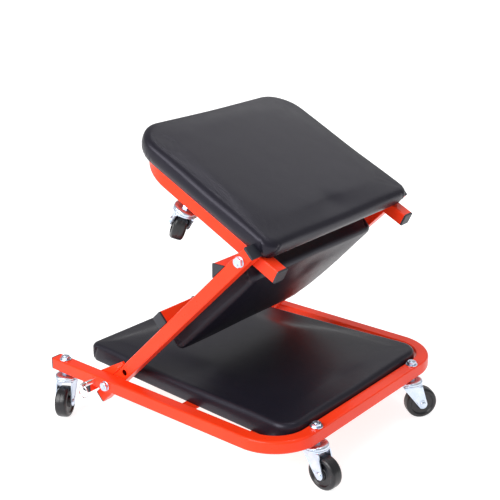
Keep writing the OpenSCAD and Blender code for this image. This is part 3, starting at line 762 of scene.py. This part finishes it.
# ---------------------------------------------------------------- caster yokes, axles and wheels
def yoke():
    """A pressed fork: a flat crown, bends, and two tapered legs with raised rims round a sunk panel."""
    y_out, th, bend = 13.8, 2.5, 3.6
    top_z = -11.7
    ym, rm = y_out - th / 2, bend - th / 2
    line = []                               # mid-surface profile of half the fork in (y, z), from crown to leg tip
    for y in np.linspace(0, ym - rm, 7):
        line.append((y, top_z - th / 2, 0.0, 1.0))
    for a in np.linspace(90, 0, 7)[1:]:
        line.append((ym - rm + rm * math.cos(rad(a)), top_z - th / 2 - rm + rm * math.sin(rad(a)), math.cos(rad(a)), math.sin(rad(a))))
    z_bend = top_z - th / 2 - rm
    tip = AXLE_Z - 7.0
    zs = list(np.linspace(z_bend, AXLE_Z, 22))[1:] + [AXLE_Z - 7.0 * math.sin(rad(a)) for a in (12, 24, 36, 48, 58, 67, 75, 81, 86, 89)]
    for z in zs:
        line.append((ym, z, 1.0, 0.0))

    # edges of a leg: from +-15.5 at its top to tangents of the 7 mm tip
    tz = -15.0
    da = math.atan2(tz - AXLE_Z, -15.5 - TRAIL)
    db = math.atan2(tz - AXLE_Z, 15.5 - TRAIL)
    a1 = da + math.acos(7 / math.hypot(tz - AXLE_Z, 15.5 + TRAIL))
    a0 = db - math.acos(7 / math.hypot(tz - AXLE_Z, 15.5 - TRAIL))
    pl = (TRAIL + 7 * math.cos(a1), AXLE_Z + 7 * math.sin(a1))
    pr = (TRAIL + 7 * math.cos(a0), AXLE_Z + 7 * math.sin(a0))

    def edges(z):
        if z >= tz:
            return -15.5, 15.5
        c = math.sqrt(max(0.0, 49 - (z - AXLE_Z) ** 2)) if abs(z - AXLE_Z) < 7 else 0.0
        lo = -15.5 + (pl[0] + 15.5) * (z - tz) / (pl[1] - tz) if z > pl[1] else TRAIL - c
        hi = 15.5 + (pr[0] - 15.5) * (z - tz) / (pr[1] - tz) if z > pr[1] else TRAIL + c
        return lo, hi
    us = [-1, -0.985, -0.94, -0.86, -0.78, -0.70, -0.5, -0.25, 0, 0.25, 0.5, 0.70, 0.78, 0.86, 0.94, 0.985, 1]

    def smooth(a, b, x):
        k = min(1.0, max(0.0, (x - a) / (b - a)))
        return k * k * (3 - 2 * k)
    rows = []
    for side in (-1, 1):
        seq = line if side == 1 else list(reversed(line))
        for y, z, ny, nz in seq:
            if side == 1 and y == 0:
                continue
            rows.append((side * y, z, side * ny, nz))

    def surface(off):
        made = []
        for y, z, ny, nz in rows:
            lo, hi = edges(z)
            if nz > 0.99:                   # crown: kept inside the round of the race plate
                half = min(15.5, math.sqrt(max(1.0, 17.6 ** 2 - min(abs(y), 10.0) ** 2)))
                lo, hi = -half, half
            row = []
            for u in us:
                x = (lo + hi) / 2 + u * (hi - lo) / 2
                sink = 0.0
                if ny * ny > 0.5 and z < z_bend - 1.5:
                    panel = smooth(0.86, 0.70, abs(u)) * smooth(z_bend - 2.0, z_bend - 5.5, z)
                    boss = math.hypot(x - TRAIL, z - AXLE_Z)
                    panel *= smooth(6.3, 8.2, boss)
                    sink = 0.95 * panel
                rim = 0.25 * (abs(u) > 0.99)
                o = off * (th / 2 - rim) - sink
                row.append((x, y + ny * o, z + nz * o))
            made.append(row)
        return made
    front, back = surface(1), surface(-1)
    nrow, ncol = len(rows), len(us)
    pts = [p for r in front for p in r] + [p for r in back for p in r]
    k = nrow * ncol
    faces = []
    for r in range(nrow - 1):
        for c in range(ncol - 1):
            a = r * ncol + c
            faces.append([a, a + 1, a + ncol + 1, a + ncol])
            faces.append([k + a, k + a + ncol, k + a + ncol + 1, k + a + 1])
        for c in (0, ncol - 1):
            a = r * ncol + c
            faces.append([a, a + ncol, k + a + ncol, k + a])
    for r in (0, nrow - 1):
        for c in range(ncol - 1):
            a = r * ncol + c
            faces.append([a, k + a, k + a + 1, a + 1])
    fork = (pts, faces)
    plate_ring = lathe([(4.1, -11.9), (9.0, -11.9), (12.5, -12.1), (14.8, -11.6), (16.4, -10.7), (17.4, -10.15), (18.2, -10.2),
                        (18.5, -10.7), (18.5, -12.2), (18.1, -12.8), (17.2, -13.6), (16.0, -14.1), (4.1, -14.1)], 72, closed=True)
    return join(fork, plate_ring)


def axle():
    dome = [(5.2, 13.8), (5.25, 14.1), (4.9, 14.8), (4.0, 15.4), (2.6, 15.75), (0, 15.8)]
    half = lathe([(0, 0), (3, 0), (3, 13.8)] + dome, 40)
    s = join(half, moved(half, Matrix.Diagonal((1, 1, -1, 1))))
    return moved(s, T(TRAIL, 0, AXLE_Z) @ ALONG_Y)


def wheel():
    """Tread with a fine parting line, rounded shoulders, a stepped side and a hub."""
    w = 9.75
    side = [(3.1, 10.7), (3.6, 10.75), (7.6, 10.75), (8.3, 10.5), (8.6, 9.9), (8.9, 8.2), (9.6, 7.55), (10.6, 7.4), (15.6, 7.4),
            (16.6, 7.5), (17.5, 7.9), (18.2, 9.0), (18.8, 9.6), (19.6, w), (20.4, w), (21.3, w - 0.25)]
    shoulder = [(20.45 + 4.4 * math.cos(rad(a)), 5.25 + 4.4 * math.sin(rad(a))) for a in (70, 58, 46, 34, 22, 10)]
    tread = [(24.93, 4.6), (24.97, 3.0), (25.0, 1.2), (25.0, 0.45), (24.82, 0.18)]
    upper = side + shoulder + tread
    prof = upper + [(24.82, -0.18)] + [(r, -z) for r, z in reversed(upper)][1:]
    return moved(lathe(prof, 96, closed=True), T(TRAIL, 0, AXLE_Z) @ ALONG_Y)


YOKE, AXLE, WHEEL = yoke(), axle(), wheel()
for i, n in enumerate(CASTERS):
    piece("fork_" + n, YOKE, CM[i], "swivel_" + n, "zinc", "yoke_" + n, angle=38)
    piece("rivet_" + n, AXLE, CM[i], "swivel_" + n, "zinc", "axle_" + n, angle=50)
    piece("tyre_" + n, WHEEL, CM[i], "wheel_" + n, "wheel_rubber", "wheel_" + n, angle=40)

# ---------------------------------------------------------------- pads
print("scene: pads")


def outline_points(x0, x1, hy, r0, r1, nx, ny, corner_weight=2.2):
    """Points round a rounded rectangle with their outward directions and which corner they belong to.
    There are nx of them along each x side and ny along each y side, closer together in the corners."""
    cor = [((x1 - r1, hy - r1), r1, 0), ((x0 + r0, hy - r0), r0, 90), ((x0 + r0, r0 - hy), r0, 180), ((x1 - r1, r1 - hy), r1, 270)]
    sides = []
    for k in range(4):
        (ca, ra, aa), (cb, rb, ab) = cor[k], cor[(k + 1) % 4]
        n = nx if k % 2 == 0 else ny
        a_end = aa + 90
        pa = (ca[0] + ra * math.cos(rad(a_end)), ca[1] + ra * math.sin(rad(a_end)))
        pb = (cb[0] + rb * math.cos(rad(a_end)), cb[1] + rb * math.sin(rad(a_end)))
        straight = math.hypot(pb[0] - pa[0], pb[1] - pa[1])
        la, lb = ra * math.pi / 4, rb * math.pi / 4
        wa, wb = la * corner_weight, lb * corner_weight
        total = wa + straight + wb
        pts = []
        for i in range(n):
            s = total * i / n
            if s < wa:
                ang = aa + 45 + 45 * s / wa
                pts.append(((ca[0] + ra * math.cos(rad(ang)), ca[1] + ra * math.sin(rad(ang))), (math.cos(rad(ang)), math.sin(rad(ang))), k, ang - aa))
            elif s < wa + straight:
                f = (s - wa) / straight
                pts.append(((pa[0] + (pb[0] - pa[0]) * f, pa[1] + (pb[1] - pa[1]) * f), (math.cos(rad(a_end)), math.sin(rad(a_end))), -1, 0))
            else:
                ang = ab + 45 * (s - wa - straight) / wb
                pts.append(((cb[0] + rb * math.cos(rad(ang)), cb[1] + rb * math.sin(rad(ang))), (math.cos(rad(ang)), math.sin(rad(ang))), (k + 1) % 4, ang - ab))
        sides.append(pts)
    return [p for s in sides for p in s], cor


def pad(name, x0, x1, hy0, hy, r0, r1, t, lift, roll, belly, m, body, nodes, seed):
    """A vinyl pad on its board. It starts as a slightly small form, is blown up by a cloth simulation that
    holds the skin at the board, and then gets the folds of its corners. It is wrapped under the board's edge."""
    x0, x1, hy0, hy = x0 + 0.8, x1 - 0.8, hy0 - 0.8, hy - 0.8

    def narrow(x):
        """How much narrower the pad is at x than at its wide end."""
        return (hy0 + (hy - hy0) * np.clip((x - x0) / (x1 - x0), 0, 1)) / hy
    cell = 5.0
    D = 36.0
    ix0, ix1, iy = x0 + D, x1 - D, hy - D
    nx, ny = int(round((ix1 - ix0) / cell)), int(round(2 * iy / cell))
    ring, cor = outline_points(x0, x1, hy, r0, r1, nx, ny)
    n = len(ring)
    # the inner rectangle's points, in the same order: side 0 runs from +x to -x along +y, and so on
    inner = []
    for k in range(4):
        cnt = nx if k % 2 == 0 else ny
        a = [(ix1, iy), (ix0, iy), (ix0, -iy), (ix1, -iy)][k]
        b = [(ix0, iy), (ix0, -iy), (ix1, -iy), (ix1, iy)][k]
        inner += [(a[0] + (b[0] - a[0]) * i / cnt, a[1] + (b[1] - a[1]) * i / cnt) for i in range(cnt)]

    def offset_ring(d, h):
        return [(p[0] - d * q[0], p[1] - d * q[1], h) for p, q, _, _ in ring]

    def between(f, h, d=9.0):
        return [((p[0] - d * q[0]) * (1 - f) + i[0] * f, (p[1] - d * q[1]) * (1 - f) + i[1] * f, h)
                for (p, q, _, _), i in zip(ring, inner)]
    hem = -0.7
    rings = [between(1.0, 1.4), between(0.60, 1.4), between(0.56, hem), between(0.50, hem - 0.1), between(0.3, hem - 0.1), between(0.12, hem),
             offset_ring(5.5, hem), offset_ring(2.6, hem), offset_ring(1.2, hem + 0.4), offset_ring(0.3, hem + 1.6)]
    side_rows = 9
    z_lo, z_hi = 2.2, t - roll
    for i in range(side_rows):
        f = i / (side_rows - 1)
        rings.append(offset_ring(-belly * math.sin(0.62 * math.pi * f ** 0.8), z_lo + (z_hi - z_lo) * f))
    out = belly * math.sin(0.62 * math.pi)
    for a in (15, 30, 45, 60, 75, 90):
        rings.append(offset_ring((roll + out) * (1 - math.cos(rad(a))) - out, z_hi + roll * math.sin(rad(a))))
    tops = [(0.0, 9.0)] + [(f, 9.0) for f in (0.13, 0.27, 0.42, 0.58, 0.74, 0.88, 1.0)]
    for f, d in tops:
        rings.append(between(f, t, d))
    pts = [p for r in rings for p in r]
    faces = []
    for a in range(len(rings) - 1):
        for i in range(n):
            j = (i + 1) % n
            faces.append((a * n + i, a * n + j, (a + 1) * n + j, (a + 1) * n + i))

    def block(ring_start, h, flip):
        """Fills the inner rectangle with a grid whose edge is the ring that starts at ring_start."""
        idx = {}
        k = ring_start
        for side, cnt in enumerate((nx, ny, nx, ny)):
            for i in range(cnt):
                key = [(nx - i, ny), (0, ny - i), (i, 0), (nx, i)][side]
                idx[key] = k
                k += 1
        for i in range(nx + 1):
            for j in range(ny + 1):
                if (i, j) not in idx:
                    idx[(i, j)] = len(pts)
                    pts.append((ix0 + (ix1 - ix0) * i / nx, -iy + 2 * iy * j / ny, h))
        for i in range(nx):
            for j in range(ny):
                f = (idx[(i, j)], idx[(i + 1, j)], idx[(i + 1, j + 1)], idx[(i, j + 1)])
                faces.append(f if not flip else f[::-1])
    block((len(rings) - 1) * n, t, False)
    block(0, 1.4, True)
    co = np.array(pts, float)
    # a low crown to start from
    cx, cy = (x0 + x1) / 2, 0.0
    hxw, hyw = (x1 - x0) / 2, hy
    ex = np.clip(1 - np.abs((co[:, 0] - cx) / hxw) ** 2.6, 0, 1)
    ey = np.clip(1 - np.abs((co[:, 1] - cy) / hyw) ** 2.6, 0, 1)
    top_part = np.clip((co[:, 2] - (t - roll)) / roll, 0, 1)
    co[:, 2] += lift * (ex * ey) ** 0.5 * top_part
    rest = co.copy()

    me = bpy.data.meshes.new(name)
    me.from_pydata([tuple(p * MM) for p in co], [], faces)
    me.update()
    bm = bmesh.new()
    bm.from_mesh(me)
    bmesh.ops.recalc_face_normals(bm, faces=bm.faces)
    bm.to_mesh(me)
    bm.free()
    o = bpy.data.objects.new(name, me)
    bpy.context.scene.collection.objects.link(o)
    held = o.vertex_groups.new(name="held")
    z = rest[:, 2]
    for lo, hi, w in ((-5, 8.0, 1.0), (8.0, 10.5, 0.6)):
        ids = [int(i) for i in np.nonzero((z >= lo) & (z < hi))[0]]
        if ids:
            held.add(ids, w, "REPLACE")
    c = o.modifiers.new("cloth", "CLOTH")
    s = c.settings
    s.quality = 6
    s.mass = 0.35
    s.tension_stiffness = s.compression_stiffness = 80
    s.shear_stiffness = 60
    s.shrink_min = 0.008
    s.bending_stiffness = 25
    s.tension_damping = s.compression_damping = 12
    s.shear_damping = 8
    s.use_pressure = True
    s.uniform_pressure_force = 1.6
    s.vertex_group_mass = "held"
    s.effector_weights.gravity = 0
    c.collision_settings.use_collision = False
    c.collision_settings.use_self_collision = False
    c.point_cache.frame_start, c.point_cache.frame_end = 1, 20
    for f in range(1, 21):
        bpy.context.scene.frame_set(f)
    ev = o.evaluated_get(bpy.context.evaluated_depsgraph_get())
    out = np.zeros(len(ev.data.vertices) * 3)
    ev.data.vertices.foreach_get("co", out)
    sim = out.reshape(-1, 3) / MM
    o.modifiers.remove(c)
    bpy.context.scene.frame_set(1)
    d = sim - rest
    # the thick vinyl irons out the finest ripples
    edges = np.array([e.vertices[:] for e in o.data.edges])
    count = np.maximum(np.bincount(edges.ravel(), minlength=len(d)), 1)[:, None]
    for _ in range(14):
        mean = np.zeros_like(d)
        np.add.at(mean, edges[:, 0], d[edges[:, 1]])
        np.add.at(mean, edges[:, 1], d[edges[:, 0]])
        d = 0.5 * d + 0.5 * mean / count
    length = np.linalg.norm(d, axis=1)
    inward = np.minimum.reduce([rest[:, 0] - x0, x1 - rest[:, 0], hy - np.abs(rest[:, 1])])
    d *= (0.25 + 0.75 * np.clip((inward - 4.0) / 34.0, 0, 1))[:, None]
    length = np.linalg.norm(d, axis=1)
    capped = 4.0 * np.tanh(length / 4.0)
    co = rest + d * (capped / np.maximum(length, 1e-9))[:, None]
    print("scene: pad", name, "moved up to", round(float(length.max()), 2), "mm; mean", round(float(length.mean()), 2))
    o.vertex_groups.clear()
    o.data.vertices.foreach_set("co", (co * MM).ravel())
    # one subdivision, then the folds
    sub = o.modifiers.new("sub", "SUBSURF")
    sub.levels = sub.render_levels = 1
    bpy.context.view_layer.update()
    fine = bpy.data.meshes.new_from_object(o.evaluated_get(bpy.context.evaluated_depsgraph_get()))
    o.modifiers.clear()
    o.data = fine
    v = np.zeros(len(fine.vertices) * 3)
    fine.vertices.foreach_get("co", v)
    v = v.reshape(-1, 3) / MM
    fold_corners(v, cor, t, roll, seed)
    v[:, 1] *= narrow(v[:, 0])
    w = (np.c_[v, np.ones(len(v))] @ np.array(m).T)[:, :3]
    fine.vertices.foreach_set("co", w.ravel())
    if m.to_3x3().determinant() < 0:
        fine.flip_normals()
    fine.polygons.foreach_set("use_smooth", [True] * len(fine.polygons))
    fine.update()
    fine.materials.clear()
    fine.materials.append(MAT["vinyl"])
    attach(o, body)
    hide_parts(*nodes)

    def under(f, h):
        return [(x, y * float(narrow(x)), z) for x, y, z in between(f, h)]
    return o, ring, under


def fold_corners(v, cor, t, roll, seed):
    """Tight corners get one tucked flap, wide in its top and closing to a point at the board; wide corners get
    a row of small gathers low on the side and under the edge."""
    rng = random.Random(seed)
    for k, ((cx, cy), r, a0) in enumerate(cor):
        dx, dy = v[:, 0] - cx, v[:, 1] - cy
        ang = (np.degrees(np.arctan2(dy, dx)) - a0) % 360
        ang = np.where(ang > 180, ang - 360, ang)
        dist = np.hypot(dx, dy)
        here = (ang > -25) & (ang < 115) & (dist > 0.35 * r)
        h = v[:, 2]
        ux, uy = dx / np.maximum(dist, 1e-6), dy / np.maximum(dist, 1e-6)
        if r < 30:
            hh = np.clip(h / t, -0.1, 1.2)
            arc_len = r * np.radians(ang - 45)
            half = 2.0 + 12.5 * np.clip(hh, 0, 1)
            up = np.clip((h - 0.5) / 3.0, 0, 1) * np.clip((t - 0.15 * roll - h) / 5.0, 0, 1)
            left, right = arc_len + half, arc_len - half
            groove = 1.9 * np.exp(-(left / 1.35) ** 2) + 1.5 * np.exp(-(right / 1.25) ** 2)
            flap = 1.3 * np.clip((half - np.abs(arc_len)) / 1.6, 0, 1)
            lip = 0.7 * np.exp(-((left + 2.4) / 1.6) ** 2)
            d = (-groove + flap + lip) * up * here
        else:
            d = np.zeros(len(v))
            arc_len = r * np.radians(ang)
            total = r * math.pi / 2
            low = np.clip((12.0 - h) / 9.0, 0, 1) ** 1.3
            s = 3.0
            while s < total - 2:
                depth = 0.45 + 0.5 * rng.random()
                wide = 1.4 + 0.9 * rng.random()
                lean = (rng.random() - 0.5) * 0.5
                centre = s + lean * h
                reach = np.clip((6 + 8 * rng.random() - h) / 6.0, 0, 1)
                d -= depth * np.exp(-((arc_len - centre) / wide) ** 2) * reach
                d += 0.5 * depth * np.exp(-((arc_len - centre - 2.2 * wide) / (1.3 * wide)) ** 2) * reach
                s += 5.0 + 5.0 * rng.random()
            d = d * here * (h > -0.4) * (low > 0)
        v[:, 0] += ux * d
        v[:, 1] += uy * d


def staples(name, ring, between, m, body, seed):
    """Wire staples that hold the wrapped vinyl under the board."""
    rng = random.Random(seed)
    made, n = [], len(ring)
    pts = between(0.33, -0.85)
    total, step = 0.0, 26.0
    for i in range(n):
        a, b = Vector(pts[i]), Vector(pts[(i + 1) % n])
        total += (b - a).length
        if total >= step:
            total -= step
            d = (b - a).normalized()
            turn = (rng.random() - 0.5) * 0.5
            d = Vector((d.x * math.cos(turn) - d.y * math.sin(turn), d.x * math.sin(turn) + d.y * math.cos(turn), 0))
            c = a + Vector((rng.random() - 0.5, rng.random() - 0.5, 0)) * 2
            line = [c - d * 5.2 + Vector((0, 0, 1.6)), c - d * 5.2 + Vector((0, 0, 0.3)), c - d * 4.9 - Vector((0, 0, 0.25)), c + d * 4.9 - Vector((0, 0, 0.25)),
                    c + d * 5.2 + Vector((0, 0, 0.3)), c + d * 5.2 + Vector((0, 0, 1.6))]
            made.append(tube_line(line, [0.4] * len(line), 6))
    return piece(name, join(*made), m, body, "zinc", angle=60, weighted=False)


M_BP, M_MP, M_TP = BASE @ T(0, 0, -7), MID @ T(0, 0, -10), TOP @ T(0, 0, 10)
for nm, box, r0, r1, t, lift, roll, belly, m, body, nodes, seed in (
        ("base_pad", (-102, 324, 149.8, 172), 14, 30, 28.8, 2.8, 7.0, 1.0, M_BP, "base", ("base_pad_cover", "base_pad_foam"), 3),
        ("mid_pad", (106, ARM - 34, 143, 143), 8, 12, 32, 6.5, 6.0, 0.0, M_MP, "mid", ("mid_pad_cover", "mid_pad_foam"), 5),
        ("top_pad", (-22, 255, 167.7, 167.7), 18, 50, 27.8, 2.2, 7.5, 4.6, M_TP, "top", ("top_pad_cover", "top_pad_foam"), 9)):
    _, ring, between = pad(nm, *box, r0, r1, t, lift, roll, belly, m, body, nodes, seed)
    staples(nm + "_staples", ring, between, m, body, seed)

# ---------------------------------------------------------------- CAD nodes that stay
SLOT_OF = {r["node"]: r["material_slot"] for r in frame["record"]["subparts"]}
for name, o in frame["nodes"].items():
    if o.hide_render:
        continue
    mat = MAT.get(SLOT_OF[name], MAT["vinyl"])
    o.data.materials.clear()
    o.data.materials.append(mat)
    print("scene: kept", name)

# ---------------------------------------------------------------- floor, light, camera
white = bpy.data.materials.new("floor")
white.use_nodes = True
wt = white.node_tree
wb = wt.nodes["Principled BSDF"]
tc = wt.nodes.new("ShaderNodeTexCoord")
wt.links.new(ramp(wt, noise_tex(wt, tc.outputs["Object"], 1.3, 2, 0.5), [(0.3, (0.48, 0.48, 0.485)), (0.7, (0.50, 0.50, 0.505))]),
             wb.inputs["Base Color"])
wb.inputs["Roughness"].default_value = 0.9
wb.inputs["Specular IOR Level"].default_value = 0.1
wb.inputs["Emission Color"].default_value = (1, 1, 1, 1)
wb.inputs["Emission Strength"].default_value = 0.80
fm = bpy.data.meshes.new("floor")
fm.from_pydata([(-30, -30, 0), (30, -30, 0), (30, 30, 0), (-30, 30, 0)], [], [(0, 1, 2, 3)])
floor = bpy.data.objects.new("floor", fm)
fm.materials.append(white)
bpy.context.scene.collection.objects.link(floor)

world = bpy.data.worlds.new("studio")
bpy.context.scene.world = world
world.use_nodes = True
wn = world.node_tree.nodes["Background"]
wn.inputs[0].default_value = (1.0, 1.0, 1.0, 1)
wn.inputs[1].default_value = 0.46


def area(name, loc, target, size, power, color=(1, 1, 1)):
    l = bpy.data.lights.new(name, "AREA")
    l.shape = "RECTANGLE"
    l.size, l.size_y = size
    l.energy = power
    l.color = color
    o = bpy.data.objects.new(name, l)
    bpy.context.scene.collection.objects.link(o)
    o.location = loc
    o.rotation_mode = "QUATERNION"
    o.rotation_quaternion = (Vector(target) - Vector(loc)).to_track_quat("-Z", "Y")
    return o


def sun(name, toward, strength, angle, color=(1, 1, 1)):
    l = bpy.data.lights.new(name, "SUN")
    l.energy = strength
    l.angle = rad(angle)
    l.color = color
    o = bpy.data.objects.new(name, l)
    bpy.context.scene.collection.objects.link(o)
    o.rotation_mode = "QUATERNION"
    o.rotation_quaternion = (-Vector(toward)).to_track_quat("-Z", "Y")
    return o


# sun strength is in W/m2: pi of it lights a white surface as a white world of strength 1 does
sun("key", (-0.15, -0.80, 0.58), 3.1, 50)
area("strip_near", (0.5, -2.0, 1.5), (0, 0, 0.1), (1.6, 0.12), 7)
area("strip_top", (0.2, 0.5, 2.2), (0, 0, 0.1), (1.6, 0.18), 8)
area("soft_back", (-0.45, 2.1, 1.9), (0, 0, 0.3), (2.2, 1.2), 7)

view = bpy.context.scene.view_settings
view.view_transform = "Standard"
view.look = "None"
view.exposure = 0.0
view.gamma = 1.0

cam_data = bpy.data.cameras.new("camera")
cam = bpy.data.objects.new("camera", cam_data)
bpy.context.scene.collection.objects.link(cam)
az, el, roll_deg = rad(40.2), rad(19.5), rad(-0.73)
back = Vector((math.sin(az) * math.cos(el), -math.cos(az) * math.cos(el), math.sin(el)))
right = Vector((math.cos(az), math.sin(az), 0))
up = Vector((-math.sin(el) * math.sin(az), math.sin(el) * math.cos(az), math.cos(el)))
cx = math.cos(roll_deg) * right + math.sin(roll_deg) * up
cy = -math.sin(roll_deg) * right + math.cos(roll_deg) * up
cam_m = Matrix.Identity(4)
for r in range(3):
    cam_m[r][0], cam_m[r][1], cam_m[r][2] = cx[r], cy[r], back[r]
cam_m.translation = Vector((0.96306, -1.1421, 0.7955))
cam.matrix_world = cam_m
cam_data.sensor_width = 36.0
cam_data.lens = 73.98
cam_data.clip_start, cam_data.clip_end = 0.01, 200
bpy.context.scene.camera = cam

bpy.context.view_layer.update()
